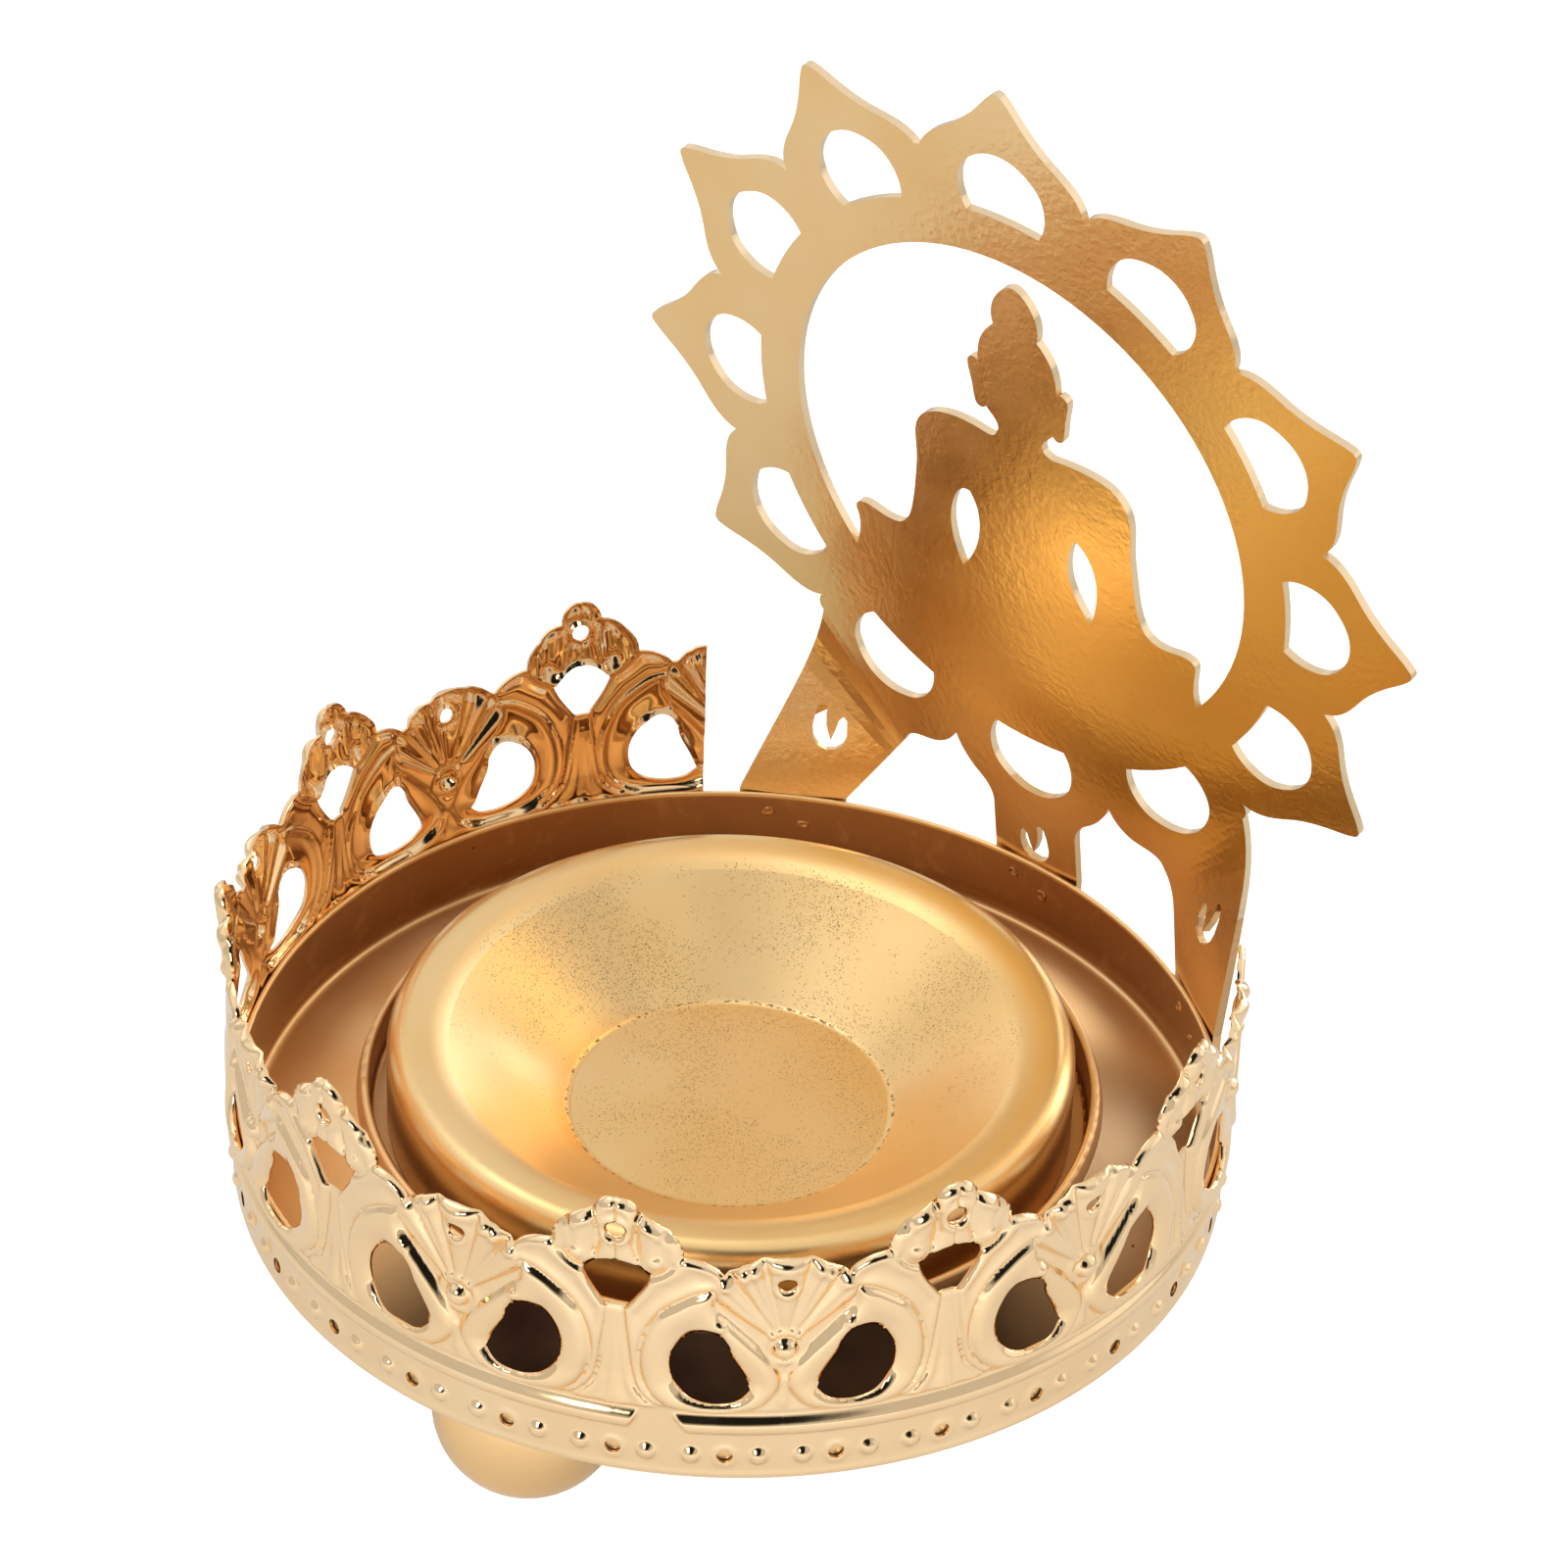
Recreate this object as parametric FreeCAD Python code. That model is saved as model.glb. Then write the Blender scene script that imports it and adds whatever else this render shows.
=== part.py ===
import FreeCAD, Part
import math
import os
from FreeCAD import Vector

# Votive candle holder in pressed and pierced sheet metal, in millimetres.
# Origin: centre of the candle dish's flat seat. +Z up, +Y towards the lotus
# back panel, so the front of the holder faces -Y and +X is on its right.

os.makedirs("parts", exist_ok=True)

# ---------------------------------------------------------------- dimensions
sheet = 0.5            # pan and dish sheet
panel_sheet = 0.9      # lotus panel sheet
band_sheet = 0.45      # gallery band sheet

# tray pan
tray_r = 50.0          # outside of the upright wall
rim_z = 3.1            # top of the wall
tray_bottom_z = -5.55  # underside of the corner between wall and cone
tray_round = 1.0       # outside rounding of that corner
valley_r = 48.8        # low end of the cone's slope
valley_z = -5.05
cone_end_r = 47.9      # the cone runs straight up to here
collar_foot_r = 37.9   # where the cone meets the raised collar
collar_foot_z = 2.0
collar_top_r = 36.93
collar_top_z = 3.6
well_r = 36.5          # inside of the well
well_round = 0.5       # rounding of the well's corner, inside and outside
floor_z = -0.5         # top of the well floor

# candle dish
seat_r = 16.5          # flat seat
cone_top_r = 29.0      # where the cone meets the domed crest
cone_top_z = 8.75
crest_z = 9.4          # highest ring of the crest
crest_r = 32.4
shoulder_drop = 2.3    # height of the crest's outside rounding
skirt_r = 34.8         # outside of the skirt
skirt_bottom_z = -0.3

# gallery band
band_bottom_z = -5.5
band_flare_z = 0.6     # the flare is measured from this height
band_top_r = 50.9      # inside radius at the highest point
band_top_z = 28.3
band_trim = 0.6        # extra height of the strip before its top is cut
bead_bottom_z, bead_z, bead_top_z = 0.1, 1.5, 2.9
pattern_r = 51.13      # radius at which the pattern's widths are measured
shell_angles = [30.0, -7.0, -43.6, -80.4, -117.6, -155.0, -192.4, -228.6]
band_start_deg = -225.9
band_end_deg = 40.9

# lotus panel
lean_deg = 8.6         # the panel leans in over the tray
lotus_rise = 51.7      # lotus centre above the rim, along the panel
petal_pitch = 30       # degrees between petals
tip_r = 49.0
valley_ring_r = 39.6   # notches between petals
chord_r = 33.8         # inner edge of the petal holes
leg_base_deg = 57.0    # centre of each outer leg where it meets the wall
leg_half_deg = 6.6
mid_leg_half = 5.45
leg_bottom_z = -4.9

# ball feet
ball_r = 9.5
ball_wall = 0.6
vent_r = 0.7
foot_ring_r = 39.3
ball_z = -10.65
foot_flat_z = -20.05
foot_angles = {"foot_front": 281.0, "foot_right_rear": 41.0, "foot_left_rear": 161.0}


# ------------------------------------------------------------------- helpers
def line(start, end):
    return Part.makeLine(Vector(*start), Vector(*end))


def arc(start, via, end):
    return Part.Arc(Vector(*start), Vector(*via), Vector(*end)).toShape()


def spline(points):
    curve = Part.BSplineCurve()
    curve.interpolate([Vector(*point) for point in points])
    return curve.toShape()


def flat_face(edges):
    return Part.Face(Part.Wire(edges))


def mirror(points):
    """Mirror (across, height) points and run them the other way."""
    return [(-x, y) for x, y in reversed(points)]


def on_arc(centre, radius, deg):
    angle = math.radians(deg)
    return (centre[0] + radius * math.cos(angle), centre[1] + radius * math.sin(angle))


def unit(vector):
    return vector * (1.0 / vector.Length)


def turn_profile(start, steps, angle=360.0):
    """Revolve an (r, z) profile about Z; a step is [end] or, for an arc, [via, end]."""
    edges = []
    here = (start[0], 0.0, start[1])
    for step in steps:
        points = [(r, 0.0, z) for r, z in step]
        edge = line if len(points) == 1 else arc
        edges.append(edge(here, *points))
        here = points[-1]
    return flat_face(edges).revolve(Vector(0, 0, 0), Vector(0, 0, 1), angle)


def save(name, shape):
    if shape.ShapeType != "Solid":
        solids = shape.Solids
        if len(solids) != 1:
            raise RuntimeError("%s has %d solids" % (name, len(solids)))
        shape = solids[0]
    if not shape.isValid():
        raise RuntimeError("%s is not valid" % name)
    shape.exportStep("parts/%s.step" % name)
    return shape


# ------------------------------------------------------------------ tray pan
cone_slope = (valley_z - collar_foot_z) / (valley_r - collar_foot_r)


def cone_z(r):
    return collar_foot_z + cone_slope * (r - collar_foot_r)


def make_tray_pan():
    """Upright wall, cone rising inward, raised collar and a shallow closed well."""
    wall_in = tray_r - sheet
    lip_z = rim_z - 0.12
    well_out = well_r + sheet
    floor_under = floor_z - sheet
    cone_drop = sheet / math.cos(math.atan(cone_slope))    # sheet measured along Z
    corner = (tray_r - tray_round, tray_bottom_z + tray_round)
    well_corner_out = (well_out - well_round, floor_under + well_round)
    well_corner_in = (well_r - well_round, floor_z + well_round)
    return turn_profile((wall_in, lip_z), [
        # rim and outside of the wall
        [(tray_r - 0.25, rim_z), (tray_r, lip_z)],
        [(tray_r, corner[1])],
        [on_arc(corner, tray_round, -45), (corner[0], tray_bottom_z)],
        # underside of the cone, well and floor
        [(48.55, tray_bottom_z)],
        [(cone_end_r, cone_z(cone_end_r) - cone_drop)],
        [(well_out, cone_z(well_out) - cone_drop)],
        [(well_out, well_corner_out[1])],
        [on_arc(well_corner_out, well_round, -45), (well_corner_out[0], floor_under)],
        [(0, floor_under)],
        # upper side, from the floor outwards
        [(0, floor_z)],
        [(well_corner_in[0], floor_z)],
        [on_arc(well_corner_in, well_round, -45), (well_r, well_corner_in[1])],
        [(well_r, collar_top_z - 0.55)],
        [(collar_top_r, collar_top_z), (37.5, collar_top_z - 0.45)],
        [(collar_foot_r, collar_foot_z)],
        [(cone_end_r, cone_z(cone_end_r))],
        [(48.95, valley_z + 0.02), (wall_in, -4.1)],
        [(wall_in, lip_z)],
    ])


# --------------------------------------------------------------- candle dish
def make_candle_dish():
    """Flat seat, cone up to a domed crest, rounded shoulder and an upright skirt.

    It drops into the pan's well and stands on the underside of its seat.
    """
    shoulder = (crest_r, crest_z - shoulder_drop)
    shoulder_out = skirt_r - crest_r
    skirt_in = skirt_r - sheet
    return turn_profile((0, 0), [
        # upper and outer side
        [(seat_r - 0.4, 0)],
        [(seat_r + 0.02, 0.07), (seat_r + 0.36, 0.25)],
        [(cone_top_r - 0.5, cone_top_z - 0.35)],
        [(30.3, 9.16), (crest_r, crest_z)],
        [on_arc(shoulder, shoulder_out, 45), (skirt_r, shoulder[1])],
        [(skirt_r, skirt_bottom_z)],
        # inner side and underside
        [(skirt_in, skirt_bottom_z)],
        [(skirt_in, shoulder[1])],
        [on_arc(shoulder, shoulder_out - sheet, 45), (crest_r, crest_z - sheet)],
        [(30.42, 8.68), (cone_top_r - 0.18, cone_top_z - 0.75)],
        [(seat_r + 0.55, -0.30)],
        [(seat_r + 0.24, -0.45), (seat_r - 0.1, -sheet)],
        [(0, -sheet)],
        [(0, 0)],
    ])


# -------------------------------------------------------------- gallery band
# A pierced strip rolled round the wall: upright against the wall, a raised
# bead at the rim, and a flared gallery of shells, scrolls and palmettes.
def make_plain_band():
    flare = (band_top_r - tray_r) / (band_top_z - band_flare_z)
    strip_top_z = band_top_z + band_trim
    bead_top_r = tray_r + flare * (bead_top_z - band_flare_z)
    strip_top_r = tray_r + flare * (strip_top_z - band_flare_z)
    outside = tray_r + band_sheet
    band = turn_profile((tray_r, band_bottom_z), [
        [(outside, band_bottom_z)],
        [(outside, bead_bottom_z)],
        [(outside + 0.62, bead_z), (bead_top_r + band_sheet, bead_top_z)],
        [(strip_top_r + band_sheet, strip_top_z)],
        [(strip_top_r, strip_top_z)],
        [(bead_top_r, bead_top_z)],
        [(tray_r + 0.58, bead_z), (tray_r, bead_bottom_z)],
        [(tray_r, band_bottom_z)],
    ], band_end_deg - band_start_deg)
    band.rotate(Vector(0, 0, 0), Vector(0, 0, 1), band_start_deg)
    return band


# Tables of (width along the curve from the axis, z).
# Top edge of half a repeat, from the shell's middle to the palmette's tip.
shell_top = [(0.0, 22.0), (2.3, 21.8), (4.2, 21.0), (5.4, 20.2), (6.1, 19.6)]
scroll_top = [(6.1, 19.6), (6.9, 20.4), (8.2, 21.1), (9.6, 21.4), (10.0, 21.4)]
lobe_top = [(10.0, 21.4), (10.3, 22.9), (11.4, 24.4), (12.7, 25.5), (14.2, 26.2)]
tip_top = [(14.2, 26.2), (14.6, 27.2), (15.4, 28.0)]
tip_x = 16.57          # end of the tip at the band's top
trim_x = 16.95         # side of the trimming cutter
trim_z = 34.0          # top of the trimming cutter
trim_step = 0.04       # extra height of every second cutter

# comma-shaped hole: inner side, then the rounded rest
comma_inner = [(3.2, 5.85), (4.0, 7.75), (5.2, 10.05), (5.6, 11.35)]
comma_round = [
    (5.6, 11.35), (6.4, 12.45), (7.8, 12.75), (9.6, 11.75), (10.7, 9.95), (11.0, 8.35),
    (10.0, 5.85), (8.6, 4.95), (6.5, 4.45), (4.8, 4.75), (3.2, 5.85),
]
# right half of the oval hole
oval_top = [(0.0, 20.5), (1.8, 20.0), (3.35, 18.6)]
oval_side = [(3.35, 18.6), (2.7, 17.2), (1.75, 15.7), (0.9, 14.55)]


def radial_prism(edges, deg, start_r=45.0, depth=12.0):
    """Push an outline in the XZ plane outwards through the band at this angle."""
    solid = flat_face(edges).extrude(Vector(0, depth, 0))
    solid.translate(Vector(0, start_r, 0))
    solid.rotate(Vector(0, 0, 0), Vector(0, 0, 1), deg - 90.0)
    return solid


def wrapped(point):
    # +x of the pattern runs with the angle; widths along the curve become
    # widths across the cutter
    return (-pattern_r * math.sin(point[0] / pattern_r), 0.0, point[1])


def pattern_spline(points):
    return spline([wrapped(point) for point in points])


def pattern_line(start, end):
    return line(wrapped(start), wrapped(end))


def top_cutter(deg, lift):
    # neighbouring cutters overlap above the tips, at slightly different heights
    top = band_top_z + lift
    sides = [scroll_top, lobe_top, tip_top + [(tip_x, top)]]
    edges = [pattern_line((-trim_x, top), (-tip_x, top))]
    edges += [pattern_spline(mirror(side)) for side in reversed(sides)]
    edges.append(pattern_spline(mirror(shell_top)[:-1] + shell_top))
    edges += [pattern_spline(side) for side in sides]
    edges += [
        pattern_line((tip_x, top), (trim_x, top)),
        pattern_line((trim_x, top), (trim_x, trim_z)),
        pattern_line((trim_x, trim_z), (-trim_x, trim_z)),
        pattern_line((-trim_x, trim_z), (-trim_x, top)),
    ]
    return radial_prism(edges, deg)


def comma_hole(deg, side):
    tables = (comma_inner, comma_round)
    edges = [pattern_spline([(side * x, z) for x, z in table]) for table in tables]
    return radial_prism(edges, deg)


def oval_hole(deg):
    x, z = oval_side[-1]
    return radial_prism([
        pattern_spline(mirror(oval_top)[:-1] + oval_top),
        pattern_spline(oval_side),
        pattern_line((x, z), (-x, z)),
        pattern_spline(mirror(oval_side)),
    ], deg)


def round_hole(deg, z, radius):
    return radial_prism([Part.makeCircle(radius, Vector(0, 0, z), Vector(0, 1, 0))], deg)


def lower_hole(deg):
    return round_hole(deg, z=-2.75, radius=0.8)


def make_gallery_band():
    cutters = []
    for i, deg in enumerate(shell_angles):
        cutters.append(top_cutter(deg, trim_step * (i % 2)))
        # the last shell is cut short by the band's end
        if i < len(shell_angles) - 1:
            cutters.append(comma_hole(deg, -1))
            cutters.append(round_hole(deg, z=18.8, radius=0.85))
        cutters.append(comma_hole(deg, 1))
        if i > 0:
            gap = shell_angles[i - 1] - deg
            cutters.append(oval_hole(deg + gap / 2.0))
            cutters.append(round_hole(deg + gap / 2.0, z=24.4, radius=0.95))
            for share in (1 / 6.0, 1 / 2.0, 5 / 6.0):
                cutters.append(lower_hole(deg + gap * share))
    # one more lower hole beyond the first shell
    first_gap = shell_angles[0] - shell_angles[1]
    cutters.append(lower_hole(shell_angles[0] + first_gap / 6.0))
    band = make_plain_band()
    for cutter in cutters:
        band = band.cut(cutter)
    return band


# -------------------------------------------------------------- lotus plate
# The plate is drawn flat, in (u, v) from the lotus centre: u to the right,
# v up the panel. Its front face is at z = 0.
notch_x, notch_y = on_arc((0, 0), valley_ring_r, 90 - petal_pitch / 2)

# Right halves of a petal and its hole: (across, out along the petal's axis).
petal_flank = [
    (notch_x, notch_y), (9.55, 40.05), (7.75, 41.85), (5.65, 43.35),
    (4.0, 44.85), (2.5, 46.55), (1.3, 48.05), (0.62, 48.72),
]
petal_hole = [
    (4.5, 33.5), (5.25, 35.2), (5.35, 37.2), (4.75, 39.0), (3.4, 40.4), (1.8, 41.3), (0.0, 41.6),
]

# Right half of the lower edge, (u, v). The outer leg folds along the line
# from shoulder to leg_corner.
shoulder = (27.9, -30.1)
shoulder_bulge = (28.35, -29.1)
leg_corner = (17.4, -42.9)
corner_to_notch = [
    leg_corner, (16.8, -42.0), (15.5, -41.45), (13.4, -41.1), (11.35, -39.9), (notch_x, -notch_y),
]
notch_to_mid_leg = [
    (notch_x, -notch_y), (9.5, -39.9), (8.0, -41.8), (6.4, -43.2), (5.75, -44.2),
    (mid_leg_half, -45.6),
]
mid_leg_top = (mid_leg_half, -48.0)

# Seated figure, (u, v): a symmetrical head with long ears and a topknot on a
# body sitting cross-legged with the hands in the lap.
head_u = 0.85          # the head's axis
# Half head, upwards from the neck: (distance from the axis, v).
half_head = [
    [(3.0, 6.6), (2.85, 7.5), (3.5, 8.5), (4.3, 9.3)],
    [(4.3, 9.3), (4.75, 8.9), (5.35, 9.0), (5.75, 9.9), (5.95, 11.6), (6.35, 13.6),
     (6.2, 14.7), (5.6, 15.0), (5.0, 14.6)],
    [(5.0, 14.6), (4.95, 16.2), (4.5, 18.0), (3.6, 19.5), (2.75, 20.4)],
    [(2.75, 20.4), (2.95, 21.8), (2.7, 23.2), (1.95, 24.6), (0.95, 25.6), (0.0, 26.0)],
]
left_body = [
    [(-22.3, -18.06), (-21.75, -16.0), (-21.7, -14.0), (-22.0, -13.0)],
    [(-22.0, -13.0), (-21.7, -12.1), (-20.6, -11.75), (-18.9, -12.05), (-17.2, -12.25),
     (-15.9, -11.95), (-15.0, -11.0), (-14.2, -8.8), (-13.45, -4.6), (-13.1, -0.6),
     (-13.1, 1.7), (-12.35, 3.8), (-10.4, 5.3), (-8.1, 5.95), (-5.5, 6.0), (-3.6, 5.75)],
    [(-3.6, 5.75), (-2.6, 5.9), (head_u - 3.0, 6.6)],
]
right_body = [
    [(head_u + 3.0, 6.6), (4.3, 6.3), (5.2, 6.15)],
    [(5.2, 6.15), (7.1, 6.35), (10.1, 6.3), (12.6, 5.6), (14.1, 4.0), (14.65, 1.7),
     (14.5, -1.6), (14.7, -5.2), (15.25, -9.6), (16.3, -11.5), (18.6, -12.1),
     (20.7, -11.8), (22.0, -12.1), (22.35, -13.0)],
    [(22.35, -13.0), (22.1, -14.6), (22.0, -16.2), (22.3, -18.06)],
]
# Gaps between arms and body, two curves each.
arm_gaps = [
    [[(-6.3, -3.15), (-5.35, -5.2), (-5.2, -7.4), (-5.9, -10.6), (-7.75, -13.8)],
     [(-7.75, -13.8), (-8.7, -11.0), (-9.0, -7.7), (-8.35, -4.9), (-7.2, -3.3), (-6.3, -3.15)]],
    [[(7.35, -3.2), (8.7, -4.4), (9.75, -6.8), (9.85, -9.8), (8.95, -13.7)],
     [(8.95, -13.7), (7.4, -11.5), (6.35, -8.8), (6.35, -6.0), (7.35, -3.2)]],
]


def turned(points, deg):
    """Points (across, out) on the petal axis at this angle, in (u, v, 0)."""
    cos, sin = math.cos(math.radians(deg)), math.sin(math.radians(deg))
    return [(y * cos + x * sin, y * sin - x * cos, 0.0) for x, y in points]


def flat(points, side=1):
    return [(side * x, y, 0.0) for x, y in points]


def joined_face(edges):
    chains = Part.sortEdges(edges)
    if len(chains) != 1:
        raise RuntimeError("outline is open: %d pieces" % len(chains))
    return Part.Face(Part.Wire(chains[0]))


def through(edges):
    face = joined_face(edges)
    face.translate(Vector(0, 0, 1))
    return face.extrude(Vector(0, 0, -panel_sheet - 2))


def plate_outline():
    edges = []
    petals = range(-30, 211, petal_pitch)
    for deg in petals:
        rise = turned(petal_flank, deg)
        fall = turned(mirror(petal_flank), deg)
        edges.append(spline(rise))
        edges.append(arc(rise[-1], turned([(0.0, tip_r)], deg)[0], fall[0]))
        edges.append(spline(fall))
    first = turned(petal_flank, petals[0])[:1]
    last = turned(mirror(petal_flank), petals[-1])[-1:]
    # lower edge, left to right
    edges += [
        spline(last + flat([shoulder_bulge, shoulder], -1)),
        line(*flat([shoulder, leg_corner], -1)),
        spline(flat(corner_to_notch, -1)),
        spline(flat(notch_to_mid_leg, -1)),
        line(*flat([notch_to_mid_leg[-1], mid_leg_top], -1)),
        line(*(flat([mid_leg_top], -1) + flat([mid_leg_top]))),
        line(*flat([mid_leg_top, notch_to_mid_leg[-1]])),
        spline(flat(reversed(notch_to_mid_leg))),
        spline(flat(reversed(corner_to_notch))),
        line(*flat([leg_corner, shoulder])),
        spline(flat([shoulder, shoulder_bulge]) + first),
    ]
    return edges


def petal_hole_cutter(deg):
    right = turned(petal_hole, deg)
    left = turned(mirror(petal_hole), deg)
    chord = arc(left[-1], turned([(0, chord_r)], deg)[0], right[0])
    return through([spline(right), spline(left), chord])


def figure_cutter():
    """Opening round the figure: a ring outside, the figure's outline inside."""
    left_head = [[(head_u - x, y) for x, y in part] for part in half_head]
    right_head = [[(head_u + x, y) for x, y in reversed(part)] for part in reversed(half_head)]
    edges = [spline(flat(part)) for part in left_body + left_head + right_head + right_body]
    start, end = right_body[-1][-1], left_body[0][0]
    edges.append(arc(*flat([start, (0, math.hypot(*start)), end])))
    return through(edges)


def make_plate():
    plate = joined_face(plate_outline()).extrude(Vector(0, 0, -panel_sheet))
    cutters = [petal_hole_cutter(petal_pitch * i) for i in range(12)]
    cutters.append(figure_cutter())
    for curves in arm_gaps:
        cutters.append(through([spline(flat(curve)) for curve in curves]))
    plate = plate.cut(cutters)
    tilt = FreeCAD.Rotation(Vector(1, 0, 0), 90.0 + lean_deg)
    plate.Placement = FreeCAD.Placement(on_panel(0, 0), tilt)
    return plate


# --------------------------------------------------------- lotus panel's legs
lean = math.radians(lean_deg)
up = Vector(0, -math.sin(lean), math.cos(lean))      # up the panel
back = Vector(0, math.cos(lean), math.sin(lean))     # out of its rear face
rim_point = Vector(0, tray_r, rim_z)                 # front face at the rim

# stations of an outer leg, as shares of its way from fold line to rim
leg_stations = [0.0, 0.06, 0.12, 0.19, 0.27, 0.36, 0.46, 0.6, 0.74, 0.86, 0.94, 1.0]

# J-shaped kerf round a pointed tongue: (across, up) from its centre
kerf = [
    (-1.35, 1.45), (-1.75, 1.0), (-1.85, -0.8), (-1.45, -1.75), (-0.65, -2.35), (0.35, -2.45),
    (1.25, -2.05), (1.85, -1.2), (2.0, -0.2), (1.75, 1.4), (1.4, 2.5), (0.9, 2.85),
    (0.45, 2.5), (0.55, 1.6), (0.45, 0.2), (-0.1, -1.35), (-0.55, -0.2), (-0.85, 0.9),
]


def on_panel(u, v):
    return rim_point + Vector(u, 0, 0) + up * (v + lotus_rise)


def section(start, end, normal):
    """Leg cross-section: front edge from start to end, sheet thickness along normal."""
    thick = normal * panel_sheet
    return Part.makePolygon([start, end, end + thick, start + thick, start])


def eased(share, bend=0.45):
    """Parabolic start up to bend, then straight; 0 to 1."""
    if share < bend:
        return share * share / (bend * (2 - bend))
    return (2 * share - bend) / (2 - bend)


def leg_at_rim(side):
    """Inner and outer corner of an outer leg at the rim."""
    radius = tray_r / math.cos(math.radians(leg_half_deg))
    corners = []
    for deg in (leg_base_deg + leg_half_deg, leg_base_deg - leg_half_deg):
        x, y = on_arc((0, 0), radius, deg)
        corners.append(Vector(side * x, y, rim_z))
    return corners


def outer_leg(side):
    """Leg folded forward from the plate, then upright against the wall below the rim."""
    tops = [on_panel(side * u, v) for u, v in (leg_corner, shoulder)]
    rims = leg_at_rim(side)
    x, y = on_arc((0, 0), 1, leg_base_deg)
    wall_normal = Vector(side * x, y, 0)
    sections = []
    for share in leg_stations:
        points = []
        for top, rim in zip(tops, rims):
            way = rim - top
            offset = way.dot(back)
            in_plane = way - back * offset
            points.append(top + in_plane * share + back * (offset * eased(share)))
        blend = share * share * (3 - 2 * share)
        sections.append(section(*points, unit(back * (1 - blend) + wall_normal * blend)))
    down = Vector(0, 0, leg_bottom_z - rim_z)
    sections.append(section(rims[0] + down, rims[1] + down, wall_normal))
    return Part.makeLoft(sections, True, True)


def middle_leg():
    half, top_v = mid_leg_top
    sections = [section(on_panel(-half, top_v), on_panel(half, top_v), back)]
    for z in (rim_z, leg_bottom_z):
        ends = (Vector(-half, tray_r, z), Vector(half, tray_r, z))
        sections.append(section(*ends, Vector(0, 1, 0)))
    return Part.makeLoft(sections, True, True)


def kerf_cutter(centre, across, upward, reach=2.0):
    normal = unit(across.cross(upward))
    points = [centre + across * x + upward * y - normal * reach for x, y in kerf]
    wire = Part.makePolygon(points + [points[0]])
    return Part.Face(wire).extrude(normal * (2 * reach))


def outer_kerf_cutter(side):
    inner, outer = leg_at_rim(side)
    across = unit(outer - inner)
    facet_up = unit(on_panel(side * shoulder[0], shoulder[1]) - outer)
    facet_up = unit(facet_up - across * across.dot(facet_up))
    return kerf_cutter(Vector(side * 24.9, 44.9, 10.9), across, facet_up)


def make_lotus_backplate():
    panel = make_plate().fuse([outer_leg(1), outer_leg(-1), middle_leg()])
    middle_kerf = kerf_cutter(on_panel(-0.2, -48.9), Vector(1, 0, 0), up)
    panel = panel.cut([middle_kerf, outer_kerf_cutter(1), outer_kerf_cutter(-1)])
    return panel.removeSplitter()


# ----------------------------------------------------------------- ball feet
def make_ball(tray_pan):
    """Hollow ball brazed under the cone, drawn on +X.

    It has a small flat to stand on and a vent hole hidden in the brazed spot.
    """
    centre = Vector(foot_ring_r, 0, ball_z)
    inner_r = ball_r - ball_wall
    normal = unit(Vector(-cone_slope, 0, 1.0))     # square to the cone, outward and up
    along = Vector(normal.z, 0, -normal.x)         # down the cone, away from the middle

    def on_ball(radius, deg):
        x, y = on_arc((0, 0), radius, deg)
        return centre + normal * x + along * y

    vent_out = math.degrees(math.asin(vent_r / ball_r))
    vent_in = math.degrees(math.asin(vent_r / inner_r))
    profile = [
        arc(on_ball(ball_r, vent_out), on_ball(ball_r, 90), on_ball(ball_r, 180)),
        line(on_ball(ball_r, 180), on_ball(inner_r, 180)),
        arc(on_ball(inner_r, 180), on_ball(inner_r, 90), on_ball(inner_r, vent_in)),
        line(on_ball(inner_r, vent_in), on_ball(ball_r, vent_out)),
    ]
    ball = flat_face(profile).revolve(centre, normal, 360)
    ball = ball.cut(Part.makeBox(30, 30, 5, Vector(foot_ring_r - 15, -15, foot_flat_z - 5)))
    return ball.cut(tray_pan)


# --------------------------------------------------------------------- build
tray_pan = save("tray_pan", make_tray_pan())
save("candle_dish", make_candle_dish())
save("gallery_band", make_gallery_band())
save("lotus_backplate", make_lotus_backplate())

foot = make_ball(tray_pan)
for name, deg in foot_angles.items():
    ball = foot.copy()
    ball.rotate(Vector(0, 0, 0), Vector(0, 0, 1), deg)
    save(name, ball)
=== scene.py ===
import bpy
import math
import numpy as np
from functools import cached_property, reduce
from mathutils import Matrix, Vector
from mathutils.geometry import delaunay_2d_cdt

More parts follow.
